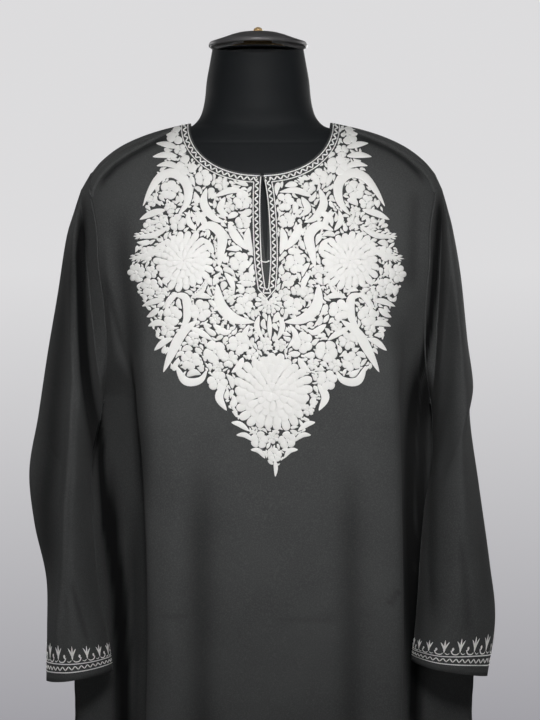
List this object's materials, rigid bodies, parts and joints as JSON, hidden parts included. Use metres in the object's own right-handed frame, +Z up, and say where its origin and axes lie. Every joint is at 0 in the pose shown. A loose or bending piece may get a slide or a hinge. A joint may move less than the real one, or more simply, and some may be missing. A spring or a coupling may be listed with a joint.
{
  "type": "embroidered pheran tunic on a limbless dress form with pole stand",
  "caption": "Loose long-sleeved charcoal wool pheran with white floral yoke and cuff embroidery, worn on a black limbless dress form on a round-base pole stand.",
  "frame": {"origin": "centre of the stand's round base, on its underside", "axes": "+Z up along the pole, -Y towards the front of the tunic, +X towards the tunic's left sleeve, which is on the viewer's right"},
  "size_m": [0.5307, 0.35, 1.4748],
  "materials": {
    "wool_cloth": "matt charcoal grey fine twill",
    "embroidery_thread": "soft warm white chain stitch",
    "form_cover": "matt black stretched jersey",
    "cap_metal": "dark gunmetal, satin",
    "brass": "polished, lightly aged",
    "stand_paint": "black powder coat"
  },
  "bodies": {
    "root": {"front": "wool_cloth", "back": "wool_cloth", "sleeve_left": "wool_cloth", "sleeve_right": "wool_cloth", "neck_hook": "cap_metal", "form_body": "form_cover", "form_neck_cap": "cap_metal", "form_cap_post": "brass", "form_cap_knob": "brass", "form_flange": "stand_paint", "stand_pole": "stand_paint", "stand_collar": "stand_paint", "stand_base": "stand_paint"}
  },
  "joints": []
}
